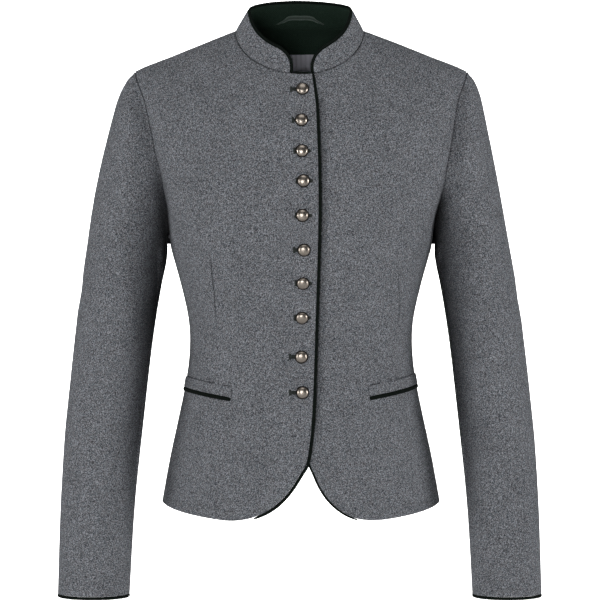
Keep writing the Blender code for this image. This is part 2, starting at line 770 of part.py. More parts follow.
def make_pocket(name, panel, loden, trim):
    pocket = POCKETS[name]
    columns = pocket_columns(panel, pocket)
    rows = [pocket_line(panel, pocket, columns, WELT_HEIGHT * share) for share in (1, 0.5, 0)]
    make_sheet(f"pocket_welt_{name}", rows, WELT_WALL, loden, outset=SEAM_GAP + WELT_WALL)
    below = -(SEAM_GAP + POCKET_PIPING["width"] / 2) / MM
    frames = []
    for (centre, normal), (lower, _) in zip(pocket_line(panel, pocket, columns, below),
                                            pocket_line(panel, pocket, columns, below - 1)):
        raised = centre + normal * (SEAM_GAP + POCKET_PIPING["wall"] / 2)
        frames.append((raised, normal, (lower - centre).normalized()))
    make_bead(f"pocket_piping_{name}", frames, POCKET_PIPING["width"], POCKET_PIPING["wall"], trim)


# Buttons

BUTTON_SIDES = 12


def button_profile():
    """(radius, height) pairs from the shank's foot to the top of the dome."""
    radius = BUTTON_DIAMETER / 2
    back = 0.5 * MM
    rim = back + 0.9 * MM
    dome = [(radius * 0.90 * math.cos(math.radians(a)),
             rim + (BUTTON_DOME - rim) * math.sin(math.radians(a))) for a in (0, 28, 58)]
    return [(SHANK_RADIUS, -WALL), (SHANK_RADIUS, back), (radius, back), (radius, rim)] + dome


def make_turned(name, profile, place, normal, top_height, material):
    """A closed turned piece on an axis along `normal`."""
    across = Vector((1, 0, 0))
    across = (across - normal * across.dot(normal)).normalized()
    upward = normal.cross(across)
    points, faces = [], []
    for radius, height in profile:
        for k in range(BUTTON_SIDES):
            turn = 2 * math.pi * k / BUTTON_SIDES
            points.append(place + normal * height + across * (radius * math.cos(turn))
                          + upward * (radius * math.sin(turn)))
    for i in range(len(profile) - 1):
        for k in range(BUTTON_SIDES):
            m = (k + 1) % BUTTON_SIDES
            here, there = i * BUTTON_SIDES, (i + 1) * BUTTON_SIDES
            faces.append((here + k, here + m, there + m, there + k))
    faces.append(tuple(reversed(range(BUTTON_SIDES))))
    tip = len(points)
    points.append(place + normal * top_height)
    last = (len(profile) - 1) * BUTTON_SIDES
    for k in range(BUTTON_SIDES):
        faces.append((last + k, last + (k + 1) % BUTTON_SIDES, tip))
    return make_object(name, points, turned_right_way(points, faces), material)


def make_buttonhole_cutter(places):
    """One helper holding a slot-shaped block for each button."""
    points, faces = [], []
    half = (BUTTONHOLE["length"] / 2, 6 * MM, BUTTONHOLE["height"] / 2)
    for (place, normal), slit in zip(places, BUTTON_PLACES["slit"]):
        across = Vector((1, 0, 0))
        across = (across - normal * across.dot(normal)).normalized()
        upward = normal.cross(across)
        centre = place + across * (slit * MM)
        first = len(points)
        for sx in (-1, 1):
            for sy in (-1, 1):
                for sz in (-1, 1):
                    points.append(centre + across * (sx * half[0]) + normal * (sy * half[1])
                                  + upward * (sz * half[2]))
        for face in ((0, 1, 3, 2), (4, 6, 7, 5), (0, 4, 5, 1), (2, 3, 7, 6), (0, 2, 6, 4),
                     (1, 5, 7, 3)):
            faces.append(tuple(first + k for k in face))
    faces = turned_right_way(points, faces)
    cutter = make_object("buttonhole_cutter", points, faces, bpy.data.materials[0], smooth=False)
    cutter.hide_render = True
    cutter.display_type = "WIRE"
    return cutter


def on_panel(rows, x, z):
    """(point, normal) on a panel's own grid at x and z, for a place near its free edge."""
    for column in range(FRONT_COLUMNS):
        near, far = at_height(rows, column, z), at_height(rows, column + 1, z)
        if (near[0].x - x) * (far[0].x - x) <= 0:
            return between(near, far, (near[0].x - x) / (near[0].x - far[0].x))
    return near


def make_buttons(metal, right_front, right_rows):
    places = [on_panel(right_rows, x * MM, z * MM)
              for x, z in zip(BUTTON_PLACES["x"], BUTTON_PLACES["z"])]
    for number, (place, normal) in enumerate(places, start=1):
        make_turned(f"button_{number:02d}", button_profile(), place, normal, BUTTON_DOME, metal)
    cut = right_front.modifiers.new("buttonholes", "BOOLEAN")
    cut.operation = "DIFFERENCE"
    cut.solver = "EXACT"
    cut.object = make_buttonhole_cutter(places)


def main():
    for item in list(bpy.data.objects):
        bpy.data.objects.remove(item, do_unlink=True)
    loden = make_material("grey_loden", (0.135, 0.145, 0.155), 0.95)
    trim = make_material("dark_green_cloth", (0.008, 0.018, 0.012), 0.85)
    lining = make_material("grey_lining", (0.10, 0.10, 0.12), 0.6)
    metal = make_material("antique_silver", (0.42, 0.39, 0.35), 0.35, 1.0)
    right_rows, right_widths = front_rows(RIGHT_FRONT_EDGE, NECK_DIP, PIPING_WIDTH)
    left_rows, left_widths = front_rows(LEFT_FRONT_EDGE, 2.0, LEFT_PIPING_WIDTH)
    back = back_rows()
    right_front = make_sheet("front_right", right_rows, WALL, loden)
    make_sheet("front_left", left_rows, WALL, loden, outset=underlap)
    make_sheet("back", back, WALL, loden)
    make_sleeves(loden, trim)
    make_collar(loden, trim)
    make_neck_inside(back, trim, lining)
    make_hanger(trim)
    make_front_pipings(right_rows, right_widths, left_rows, left_widths, trim)
    make_pocket("right", right_rows, loden, trim)
    make_pocket("left", left_rows, loden, trim)
    make_buttons(metal, right_front, right_rows)


main()
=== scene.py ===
import math

import bmesh
import bpy
import numpy as np
from mathutils import Matrix, Vector
from mathutils.bvhtree import BVHTree


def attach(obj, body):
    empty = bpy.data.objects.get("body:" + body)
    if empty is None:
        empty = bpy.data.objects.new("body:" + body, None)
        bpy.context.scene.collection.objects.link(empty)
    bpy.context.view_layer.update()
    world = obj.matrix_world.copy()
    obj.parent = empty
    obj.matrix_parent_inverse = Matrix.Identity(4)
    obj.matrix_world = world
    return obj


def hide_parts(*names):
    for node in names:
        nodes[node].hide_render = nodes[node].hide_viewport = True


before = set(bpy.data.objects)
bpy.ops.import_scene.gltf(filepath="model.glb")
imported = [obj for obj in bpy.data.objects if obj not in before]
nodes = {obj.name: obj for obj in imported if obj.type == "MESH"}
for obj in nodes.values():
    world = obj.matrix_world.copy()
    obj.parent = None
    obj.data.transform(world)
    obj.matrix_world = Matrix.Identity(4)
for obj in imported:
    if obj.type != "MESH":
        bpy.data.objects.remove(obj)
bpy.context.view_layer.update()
mm = 0.001


def linear(hexColour):  # an sRGB hex colour as the linear RGBA that shaders take
    parts = [int(hexColour[i:i + 2], 16) / 255 for i in (1, 3, 5)]
    return [p / 12.92 if p <= 0.04045 else ((p + 0.055) / 1.055) ** 2.4 for p in parts] + [1.0]


def addNode(tree, kind, settings=None, inputs=None):  # an input is a value or the socket that feeds it
    node = tree.nodes.new(kind)
    for name, value in (settings or {}).items():
        setattr(node, name, value)
    for name, value in (inputs or {}).items():
        if isinstance(value, bpy.types.NodeSocket):
            tree.links.new(value, node.inputs[name])
        else:
            node.inputs[name].default_value = value
    return node


def newMaterial(name):
    material = bpy.data.materials.new(name)
    material.use_nodes = True
    tree = material.node_tree
    tree.nodes.clear()
    return material, tree, addNode(tree, "ShaderNodeTexCoord").outputs["Object"]


def scaleAdd(tree, value, factor, add):
    return addNode(tree, "ShaderNodeMath", {"operation": "MULTIPLY_ADD"}, {0: value, 1: factor, 2: add}).outputs[0]


def mixColours(tree, kind, share, first, second):
    return addNode(tree, "ShaderNodeMix", {"data_type": "RGBA", "blend_type": kind},
                   {0: share, 6: first, 7: second}).outputs[2]


def ranged(tree, value, limits, smooth=False):
    return addNode(tree, "ShaderNodeMapRange", {"interpolation_type": "SMOOTHSTEP"} if smooth else None,
                   {"Value": value, **limits}).outputs[0]


def noise(tree, place, size, detail, roughness=0.5):  # grains of about this size in mm
    return addNode(tree, "ShaderNodeTexNoise", None, {"Vector": place, "Scale": 1 / (size * mm), "Detail": detail,
                                                      "Roughness": roughness}).outputs["Fac"]


def bands(tree, place, width, turn=0.0, more=None):  # stripes of this width in mm, turned by this many degrees
    turned = addNode(tree, "ShaderNodeMapping", None, {"Vector": place, "Rotation": (0, math.radians(turn), 0)})
    return addNode(tree, "ShaderNodeTexWave", {"wave_type": "BANDS", "bands_direction": "X"},
                   {"Vector": turned.outputs[0], "Scale": 0.314 / (width * mm), **(more or {})}).outputs["Fac"]


def colourRamp(tree, value, stops):  # stops are (position, hex colour), lowest first
    ramp = addNode(tree, "ShaderNodeValToRGB", None, {"Fac": value})
    points = ramp.color_ramp.elements
    for point, (position, colour) in zip(points, (stops[0], stops[-1])):
        point.position, point.color = position, linear(colour)
    for position, colour in stops[1:-1]:
        points.new(position).color = linear(colour)
    return ramp.outputs["Color"]


def stored(tree, name):  # a number kept on the mesh
    return addNode(tree, "ShaderNodeAttribute", {"attribute_name": name}).outputs["Fac"]


def paintedShadeTone(tree, colour, share):
    # painted shade: the colour is darkened by a kept number where cloth lies next to the body or in a groove, standing
    # in for the shade that falls there
    return mixColours(tree, "MULTIPLY", 1.0, colour, scaleAdd(tree, stored(tree, "paintedShade"), -share, 1.0))


def relief(tree, height, strength, depth):  # a bump of this depth in mm
    return addNode(tree, "ShaderNodeBump", None,
                   {"Height": height, "Strength": strength, "Distance": depth * mm}).outputs[0]


def setSurface(tree, inputs):
    shader = addNode(tree, "ShaderNodeBsdfPrincipled", None, inputs)
    addNode(tree, "ShaderNodeOutputMaterial", None, {"Surface": shader.outputs[0]})


def smoothStep(value):
    value = np.clip(value, 0.0, 1.0)
    return value * value * (3 - 2 * value)


# Camera: nine metres off and nine degrees above the chest, so that the sides barely converge

cameraPlace = {"distance": 9.0, "rise": 9.0, "aim": (-0.00118, -0.285), "drop": 0.0346, "lens": 457.6}


def makeCamera(place):
    rise = math.radians(place["rise"])
    upward = Vector((0, math.sin(rise), math.cos(rise)))
    aim = Vector((place["aim"][0], 0, place["aim"][1])) - upward * place["drop"]
    data = bpy.data.cameras.new("camera")
    data.lens = place["lens"]
    data.sensor_width = 36
    data.clip_end = 100
    camera = bpy.data.objects.new("camera", data)
    bpy.context.scene.collection.objects.link(camera)
    camera.location = aim + Vector((0, -math.cos(rise), math.sin(rise))) * place["distance"]
    camera.rotation_euler = (math.pi / 2 - rise, 0, 0)
    bpy.context.scene.camera = camera


makeCamera(cameraPlace)
print("camera set")


# Finishes

lodenLook = {
    "dark": "#26282b", "middle": "#6b6d72", "light": "#b4b7bd",  # dyed and undyed wool in the mixture
    "cool": "#62707a", "warm": "#77706f",  # single blue-green and violet-brown hairs
    "hairs": 0.16,  # how much of their colour shows
    "fleck": 1.05,  # mm; the real flecks are about 0.5, drawn coarser so that they show
    "cloud": 34,  # mm, where the mixture is carded a little lighter or darker
    "nap": 0.9,  # mm
    "seam": 1.3,  # mm, half the width of a pressed seam or dart line
    "seamTone": 0.42, "seamDip": 2.4,  # how much darker such a line is, and how deep beside the nap
    "paintedShade": 0.93,  # painted shade: how much darker the cloth colour is made where a sleeve shuts it off from the light
}


def makeLoden(name, look):
    # fulled woollen cloth, milled until the weave closes: matt, a salt-and-pepper mixture under a short nap
    material, tree, place = newMaterial(name)
    flecks = scaleAdd(tree, noise(tree, place, look["fleck"] / 0.42, 1.0), 0.16, noise(tree, place, look["fleck"], 1.0))
    wool = colourRamp(tree, flecks, [(0.40, look["dark"]), (0.575, look["middle"]), (0.76, look["light"])])
    tint = noise(tree, place, look["fleck"] / 0.30, 1.0)
    hairs = colourRamp(tree, tint, [(0.34, look["cool"]), (0.66, look["warm"])])
    mixture = mixColours(tree, "MIX", look["hairs"], wool, hairs)
    shade = ranged(tree, noise(tree, place, look["cloud"], 2.0),
                   {"From Min": 0.3, "From Max": 0.7, "To Min": 0.93, "To Max": 1.07})
    clouded = mixColours(tree, "MULTIPLY", 1.0, mixture, shade)
    # pressed seam and dart lines, from each piece's own distance to its nearest line
    away = addNode(tree, "ShaderNodeMath", {"operation": "ABSOLUTE"}, {0: stored(tree, "seamAway")}).outputs[0]
    line = ranged(tree, away, {"From Min": 0.0, "From Max": look["seam"] * mm, "To Min": 1.0, "To Max": 0.0}, True)
    seam = addNode(tree, "ShaderNodeMath", {"operation": "MULTIPLY"},
                   {0: line, 1: stored(tree, "seamLength")}).outputs[0]
    pressed = mixColours(tree, "MULTIPLY", 1.0, clouded, scaleAdd(tree, seam, -look["seamTone"], 1.0))
    surface = scaleAdd(tree, seam, -look["seamDip"], noise(tree, place, look["nap"], 3.0, 0.6))
    setSurface(tree, {"Base Color": paintedShadeTone(tree, pressed, look["paintedShade"]), "Roughness": 0.93, "IOR": 1.45,
                      "Specular IOR Level": 0.12, "Sheen Weight": 0.06, "Sheen Roughness": 0.45,
                      "Sheen Tint": linear("#a9adb2"), "Normal": relief(tree, surface, 0.55, 0.35)})
    return material


# paintedShade is how far a kept painted-shade number darkens each cloth's colour; only the hanger tape keeps one
trimLook = {"ground": "#070c09", "lift": "#0f1813", "rib": 1.1, "nap": 0.8, "paintedShade": 0.6}  # rib and nap in mm
# painted light: the facings' colour is lifted to make up for the shade inside the collar and neck
facingLook = {"ground": "#1c2b23", "lift": "#2d3e34", "rib": 1.6, "nap": 1.2, "paintedShade": 0.6}
tapeLook = {"ground": "#505d56", "lift": "#6b7971", "rib": 1.4, "nap": 0.6, "paintedShade": 0.6}


def makeTrimCloth(name, look):
    # fine dark green woollen cloth, cut on the bias: matt, with a diagonal twill that only just shows
    material, tree, place = newMaterial(name)
    rib = bands(tree, place, look["rib"], 38, {"Distortion": 1.2, "Detail": 1.0, "Detail Scale": 3.0})
    both = scaleAdd(tree, rib, 0.35, noise(tree, place, look["nap"], 3.0))
    colour = colourRamp(tree, both, [(0.42, look["ground"]), (0.92, look["lift"])])
    setSurface(tree, {"Base Color": paintedShadeTone(tree, colour, look["paintedShade"]), "Roughness": 0.9, "IOR": 1.45,
                      "Specular IOR Level": 0.15, "Sheen Weight": 0.03, "Sheen Roughness": 0.5,
                      "Sheen Tint": linear("#5d6a62"), "Normal": relief(tree, both, 0.5, 0.25)})
    return material


# painted light and shade: light grey for the shaded inside of the neck, darker in the pleat folds
liningLook = {"shadow": "#d2d1dc", "thread": "#e4e3ee", "pleat": 5.5, "twill": 0.9}  # pleat and twill in mm


def makeLining(name, look):
    # viscose lining twill, calendered: smooth, with a soft lengthwise shine and pressed folds; the colour is darker in
    # the folds as painted shade, and made light grey as painted light for the shaded inside of the neck
    material, tree, place = newMaterial(name)
    pleat = bands(tree, place, look["pleat"], 0, {"Distortion": 0.7, "Detail": 2.0, "Detail Scale": 0.6})
    both = scaleAdd(tree, bands(tree, place, look["twill"], 45), 0.12, pleat)
    # painted shade: darker in the pleat folds
    setSurface(tree, {"Base Color": colourRamp(tree, both, [(0.05, look["shadow"]), (0.75, look["thread"])]),
                      "Roughness": 0.42, "IOR": 1.47, "Anisotropic": 0.4, "Sheen Weight": 0.15,
                      "Sheen Roughness": 0.3, "Normal": relief(tree, both, 0.35, 0.4)})
    return material


silverLook = {"bright": "#b3a99e", "patinaAndShade": "#2b2520", "dent": 1.9, "rub": 5.0}  # dent and rub in mm


def makeSilver(name, look):
    # silvered brass, blackened and rubbed back: warm bright dome, brown-black left in the dents and the step inside the
    # rim, and brown-black on the rolled rim and the dome's foot as a painted dark reflection
    material, tree, place = newMaterial(name)
    dents = addNode(tree, "ShaderNodeTexVoronoi", {"feature": "SMOOTH_F1"},
                    {"Vector": place, "Scale": 1 / (look["dent"] * mm), "Smoothness": 0.7})
    dark = scaleAdd(tree, noise(tree, place, look["rub"], 3.0), 0.34, stored(tree, "patinaAndRimShade"))
    share = ranged(tree, dark, {"From Min": 0.16, "From Max": 0.95}, True)
    rough = ranged(tree, dark, {"From Min": 0.1, "From Max": 1.0, "To Min": 0.3, "To Max": 0.6})
    setSurface(tree, {"Base Color": mixColours(tree, "MIX", share, linear(look["bright"]), linear(look["patinaAndShade"])),
                      "Metallic": 1.0, "Roughness": rough,
                      "Normal": relief(tree, dents.outputs["Distance"], 0.22, 0.25)})
    return material


threadLook = {"ply": "#0f1713", "shine": "#1b2620", "twist": 0.5}  # twist in mm


def makeThread(name, look):
    # twisted silk buttonhole thread: close dark green ridges, with a slight shine painted into the colour as lighter
    # twists
    material, tree, place = newMaterial(name)
    twist = noise(tree, place, look["twist"], 2.0)
    # painted sheen: the shine colour is mixed in along the twist
    setSurface(tree, {"Base Color": mixColours(tree, "MIX", twist, linear(look["ply"]), linear(look["shine"])),
                      "Roughness": 0.55, "IOR": 1.55, "Normal": relief(tree, twist, 0.4, 0.1)})
    return material


loden = makeLoden("fulledLoden", lodenLook)
trimCloth = makeTrimCloth("darkGreenTwill", trimLook)
facingCloth = makeTrimCloth("greenFacingFlannel", facingLook)
tape = makeTrimCloth("darkGreenTape", tapeLook)
lining = makeLining("viscoseLining", liningLook)
silver = makeSilver("blackenedSilver", silverLook)
thread = makeThread("buttonholeSilk", threadLook)
print("finishes made")


# Cloth: each cut piece is its solid's form again, finer, with its edges turned and its creases put in

clothBuild = {"merge": 0.002, "levels": 2, "edge": 0.45,  # merge and edge in mm
              "flat": 32, "corner": 50, "sharp": 62}  # degrees: nearly flat, creased, and shaded as an edge


def joinQuads(mesh):  # the solid's triangles come in pairs that share their longest side
    longest = {f: max(f.edges, key=lambda e: e.calc_length()) for f in mesh.faces if len(f.verts) == 3}
    flat = math.radians(clothBuild["flat"])
    shared = [e for e in mesh.edges if len(e.link_faces) == 2
              and all(longest.get(f) == e for f in e.link_faces) and e.calc_face_angle(0) < flat]
    bmesh.ops.dissolve_edges(mesh, edges=shared, use_verts=False)
    left = [f for f in mesh.faces if len(f.verts) == 3]
    bmesh.ops.join_triangles(mesh, faces=left, angle_face_threshold=flat, angle_shape_threshold=math.radians(75))


def applyModifiers(piece):
    graph = bpy.context.evaluated_depsgraph_get()
    mesh = bpy.data.meshes.new_from_object(piece.evaluated_get(graph))
    old = piece.data
    piece.modifiers.clear()
    piece.data = mesh
    bpy.data.meshes.remove(old)
    mesh.name = piece.name


def placed(name, mesh, material):
    piece = bpy.data.objects.new(name, mesh)
    bpy.context.scene.collection.objects.link(piece)
    mesh.materials.clear()
    mesh.materials.append(material)
    return piece


def fromSolid(node, name, material, levels=clothBuild["levels"], edge=clothBuild["edge"], hold=1.0):
    mesh = bmesh.new()
    mesh.from_mesh(nodes[node].data)
    bmesh.ops.remove_doubles(mesh, verts=mesh.verts, dist=clothBuild["merge"] * mm)
    joinQuads(mesh)
    crease = mesh.edges.layers.float.new("crease_edge")
    for e in mesh.edges:
        if e.calc_face_angle(0) > math.radians(clothBuild["corner"]):
            e[crease] = 0.9 if any(len(f.verts) > 4 for f in e.link_faces) else hold  # a cord's cut end stays square
    data = bpy.data.meshes.new(name)
    mesh.to_mesh(data)
    mesh.free()
    piece = placed(name, data, material)
    fine = piece.modifiers.new("fine", "SUBSURF")
    fine.levels = fine.render_levels = levels
    if edge:
        turned = piece.modifiers.new("turned edge", "BEVEL")
        turned.limit_method = "ANGLE"
        turned.angle_limit = math.radians(45)
        turned.width = edge * mm
        turned.segments = 2
    applyModifiers(piece)
    piece.data.shade_smooth()
    piece.data.set_sharp_from_angle(angle=math.radians(clothBuild["sharp"]))
    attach(piece, "root")
    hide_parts(node)
    return piece


def coords(piece):
    found = np.empty(len(piece.data.vertices) * 3)
    piece.data.vertices.foreach_get("co", found)
    return found.reshape(-1, 3)


def setCoords(piece, points):
    piece.data.vertices.foreach_set("co", points.ravel())
    piece.data.update()


def keep(piece, name, values):  # numbers that the finishes read, one for each point
    layer = piece.data.attributes.new(name, "FLOAT", "POINT")
    layer.data.foreach_set("value", values.astype(np.float32))


def treeOf(*names):  # what a crease is laid on
    points, faces = [], []
    for name in names:
        mesh = nodes[name].data
        first = len(points)
        points += [v.co.copy() for v in mesh.vertices]
        faces += [[first + i for i in p.vertices] for p in mesh.polygons]
    return BVHTree.FromPolygons(points, faces)


creaseForm = {"steps": 12, "taper": 0.7, "rim": 0.30, "rimAt": 1.9, "rimWidth": 0.9}  # rims in widths of the crease
bodyTree = treeOf("front_left", "front_right", "back")
sleeveTrees = {"left": treeOf("sleeve_left"), "right": treeOf("sleeve_right")}
looks = {"front": (Vector((0, 1, 0)), 0), "back": (Vector((0, -1, 0)), 0),
         "fromRight": (Vector((1, 0, 0)), 1), "fromLeft": (Vector((-1, 0, 0)), 1)}


def laidLine(tree, view, start, end, bow):  # a bowed line seen from one side, laid on the solid
    direction, axis = looks[view]
    count = creaseForm["steps"]
    found = []
    for i in range(count + 1):
        share = i / count
        across = (start[0] + (end[0] - start[0]) * share) * mm
        height = (start[1] + (end[1] - start[1]) * share) * mm
        lift = math.sin(math.pi * share) * bow * mm
        slope = Vector((end[0] - start[0], end[1] - start[1])).normalized()
        across, height = across - slope.y * lift, height + slope.x * lift
        eye = Vector((across, 0, height)) if axis == 0 else Vector((0, across, height))
        hit = tree.ray_cast(eye - direction * 0.6, direction)[0]
        if hit is not None:
            found.append(hit)
    return np.array(found)


def nearness(points, line):  # distance to a line of points, and how far along it that is, from 0 to 1
    best = np.full(len(points), 9.0)
    where = np.zeros(len(points))
    for i in range(len(line) - 1):
        step = line[i + 1] - line[i]
        share = np.clip(((points - line[i]) @ step) / max(step @ step, 1e-12), 0, 1)
        away = np.linalg.norm(points - line[i] - share[:, None] * step, axis=1)
        closer = away < best
        best = np.where(closer, away, best)
        where = np.where(closer, (i + share) / (len(line) - 1), where)
    return best, where


def creaseDepth(points, tree, table):
    depth = np.zeros(len(points))
    for view, x, z, endX, endZ, width, deep, bow in zip(*[table[c] for c in (
            "view", "across", "z", "endAcross", "endZ", "width", "depth", "bow")]):
        line = laidLine(tree, view, (x, z), (endX, endZ), bow)
        if len(line) < 3:
            continue
        away, along = nearness(points, line)
        away = away / (width * mm)
        taper = np.sin(np.pi * np.clip(along, 0.02, 0.98)) ** creaseForm["taper"]
        rim = creaseForm["rim"] * np.exp(-((away - creaseForm["rimAt"]) / creaseForm["rimWidth"]) ** 2)
        depth += deep * mm * taper * (np.exp(-away ** 2) - rim)
    return depth


bodyCreases = {  # a trough has a depth below 0, a ridge above; all in mm
    "view":      ("front", "front", "front", "front", "front", "front", "front", "front", "front", "front",
                  "front", "back", "back", "back", "back", "back", "back", "back", "back", "back"),
    "across":    (-147, 146, -118, 128, -132, 133, -128, -112, 118, -62, 70, -142, 138, -128, 126, -122, 112, -95,
                  104, 6),
    "z":         (-100, -92, -205, -212, -292, -286, -338, -430, -424, -440, -470, -112, -104, -300, -292, -336, -346,
                  -432, -424, -440),
    "endAcross": (-141, 142, -84, 92, -78, 84, -92, -126, 130, -58, 66, -132, 128, -66, 74, -78, 62, -104, 116, 4),
    "endZ":      (-205, -196, -232, -226, -316, -306, -334, -540, -536, -520, -528, -206, -214, -316, -304, -330, -352,
                  -546, -552, -530),
    "width":     (15, 17, 13, 15, 9, 10, 9, 20, 22, 17, 16, 17, 18, 10, 9, 11, 9, 22, 20, 17),
    "depth":     (-2.6, -2.1, -1.2, -0.9, -1.3, -1.1, -0.9, 1.4, 1.2, -0.9, -0.7, -2.0, -2.3, -1.4, -1.2, -1.0, -0.9,
                  1.5, 1.3, -0.9),
    "bow":       (5, -6, 4, -3, 5, -4, 2, 6, -5, 3, -2, -6, 5, 6, -5, 3, -2, -5, 6, 2),
}
sleeveCreases = {
    "right": {
        "view":      ("front", "front", "front", "front", "front", "front", "fromRight", "fromRight", "back", "back",
                      "back", "back"),
        "across":    (-176, -186, -190, -200, -214, -232, -20, 18, -190, -186, -205, -236),
        "z":         (-86, -232, -300, -342, -392, -508, -300, -420, -110, -330, -362, -520),
        "endAcross": (-186, -214, -236, -240, -246, -256, 22, -6, -196, -232, -240, -252),
        "endZ":      (-176, -262, -318, -364, -420, -596, -336, -508, -215, -346, -392, -610),
        "width":     (13, 12, 11, 12, 13, 14, 14, 15, 15, 12, 12, 15),
        "depth":     (-1.6, -1.0, -1.3, -1.5, -1.1, -0.9, -1.2, 1.0, -1.5, -1.7, -1.3, -0.9),
        "bow":       (4, 5, 6, 5, -4, 5, 6, -5, -4, 5, 6, 4),
    },
    "left": {
        "view":      ("front", "front", "front", "front", "front", "front", "fromLeft", "fromLeft", "back", "back",
                      "back", "back"),
        "across":    (178, 184, 192, 206, 216, 246, -16, 16, 188, 188, 202, 232),
        "z":         (-92, -246, -306, -330, -402, -500, -310, -436, -102, -322, -370, -530),
        "endAcross": (187, 210, 234, 228, 244, 238, 24, -4, 198, 230, 242, 250),
        "endZ":      (-182, -270, -330, -432, -434, -604, -342, -520, -206, -342, -388, -616),
        "width":     (14, 12, 12, 15, 12, 15, 14, 15, 16, 12, 11, 14),
        "depth":     (-1.4, -0.9, -1.2, -1.6, -1.2, -0.8, -1.1, 1.1, -1.7, -1.5, -1.4, -1.0),
        "bow":       (-4, -5, -6, 5, 4, -5, 5, -6, 4, -5, -6, -4),
    },
}


def moveBody(piece):
    points = coords(piece)
    outward = np.column_stack((points[:, 0], 3.0 * points[:, 1], np.zeros(len(points))))
    outward /= np.linalg.norm(outward, axis=1)[:, None] + 1e-9
    calm = smoothStep((np.abs(points[:, 2]) - 0.04) / 0.05)  # nothing moves at the neck
    setCoords(piece, points + outward * (creaseDepth(points, bodyTree, bodyCreases) * calm)[:, None])


def sleeveCentre(points, axisOf):
    return np.column_stack([np.interp(-points[:, 2], axisOf[0], axisOf[k]) for k in (1, 2)])


sleeveTuck = {  # mm: the front of a sleeve turns in to the body between two heights, and how softly at each
    "depth": 22.0, "width": 46, "top": -215, "topFade": 70, "foot": -600, "footFade": 140, "frontFade": 20,
}


def moveSleeve(piece, side, axisOf):
    points = coords(piece)
    outward = points[:, :2] - sleeveCentre(points, axisOf)
    inner = np.clip(outward[:, 0] * (1 if side == "right" else -1) / (sleeveTuck["width"] * mm) + 0.05, 0, 1)
    height = points[:, 2] / mm
    along = smoothStep((sleeveTuck["top"] - height) / sleeveTuck["topFade"])
    along *= smoothStep((height - sleeveTuck["foot"]) / sleeveTuck["footFade"])
    front = smoothStep(-outward[:, 1] / (sleeveTuck["frontFade"] * mm))
    points[:, 1] += sleeveTuck["depth"] * mm * inner ** 2 * along * front
    outward /= np.linalg.norm(outward, axis=1)[:, None] + 1e-9
    calm = smoothStep((-points[:, 2] - 0.03) / 0.05) * smoothStep((0.66 + points[:, 2]) / 0.04)
    depth = creaseDepth(points, sleeveTrees[side], sleeveCreases[side]) * calm
    points[:, :2] += outward * depth[:, None]
    setCoords(piece, points)


def sleeveAxis(piece):  # depth below the neck, then x and y of the middle of the sleeve there
    points = coords(piece)
    low = -points[:, 2]
    edges = np.linspace(low.min(), low.max(), 25)
    rows = []
    for a, b in zip(edges[:-1], edges[1:]):
        ring = points[(low >= a) & (low <= b)]
        if len(ring) > 8:
            rows.append(((a + b) / 2, *((ring.max(0) + ring.min(0)) / 2)[:2]))
    return np.array(rows).T


seamPress = {  # mm: how far a seam sinks and the sleeve head rolls up beside it; line is how strongly it shows
    "ditch": 0.65, "ditchWidth": 3.2, "roll": 0.9, "rollAt": 11, "rollWidth": 6, "line": 0.75, "reach": 13, "fade": 6,
}


def markSeams(piece, others, lines=(), roll=0.0, centre=None):
    # signed distance to the nearest seam or dart, and how strongly it shows there; a seam also sinks a little
    points = coords(piece)
    trees = [treeOf(name) for name in others]
    furthest, gap = 40 * mm, 0.3 * mm  # how far a seam is looked for, and how far apart the solids lie there
    beside = np.array([min([hit[3] for hit in (tree.find_nearest(p, furthest) for tree in trees)
                            if hit[3] is not None], default=furthest) for p in map(Vector, points)])
    beside = np.clip(beside - gap, 0, None)
    signed = beside.copy()
    shows = smoothStep((seamPress["reach"] * mm - beside) / (seamPress["fade"] * mm)) * seamPress["line"]
    flat = points[:, :2] if centre is None else points[:, :2] - centre(points)
    outward = flat * (np.array((1.0, 3.0)) if centre is None else 1.0)
    outward /= np.linalg.norm(outward, axis=1)[:, None] + 1e-9
    depth = (-seamPress["ditch"] * np.exp(-(beside / mm / seamPress["ditchWidth"]) ** 2)
             + roll * np.exp(-((beside / mm - seamPress["rollAt"]) / seamPress["rollWidth"]) ** 2)) * mm
    moved = points.copy()
    moved[:, :2] += outward * depth[:, None]
    setCoords(piece, moved)
    for line in lines:
        level = line.get("level", False)  # a level line is a height along x, any other an x down the height
        run, rise = np.array(line["x"]) * mm, np.array(line["z"]) * mm
        if level:
            run, rise = rise, run
        order = np.argsort(rise)
        along, across = (points[:, 0], points[:, 2]) if level else (points[:, 2], points[:, 0])
        away = across - np.interp(along, rise[order], run[order])
        taper = (smoothStep((rise.max() - along) / (line["fade"][0] * mm))
                 * smoothStep((along - rise.min()) / (line["fade"][1] * mm)))
        here = smoothStep((0.015 - np.abs(away)) / (seamPress["fade"] * mm)) * taper * line["strength"]
        closer = np.abs(away) < np.abs(signed)
        signed = np.where(closer, away, signed)
        shows = np.where(closer, here, shows)
    keep(piece, "seamAway", signed)
    keep(piece, "seamLength", shows)


armFold = {  # mm: the fold down the front of each armhole, how wide it is, and how far its seam lies further in
    "right": {"height": (-262, -230, -187, -156, -116, -79, -45), "reach": (26, 18, 10, 7, 6, 6, 6),
              "inward": (0, 0, 1, 3.5, 5, 4.2, 0), "top": -128, "foot": -345},
    "left": {"height": (-262, -223, -197, -175, -153, -105, -81, -45), "reach": (17, 12, 8, 6, 6, 6, 6, 6),
             "inward": (0, -1, -3.2, -2.8, 0, 2.2, 3.7, 0), "top": -155, "foot": -330},
    "depth": 46, "onBody": 6, "topFade": 85, "footFade": 95, "frontFade": 24, "seamReach": 22, "furthest": 120,
}


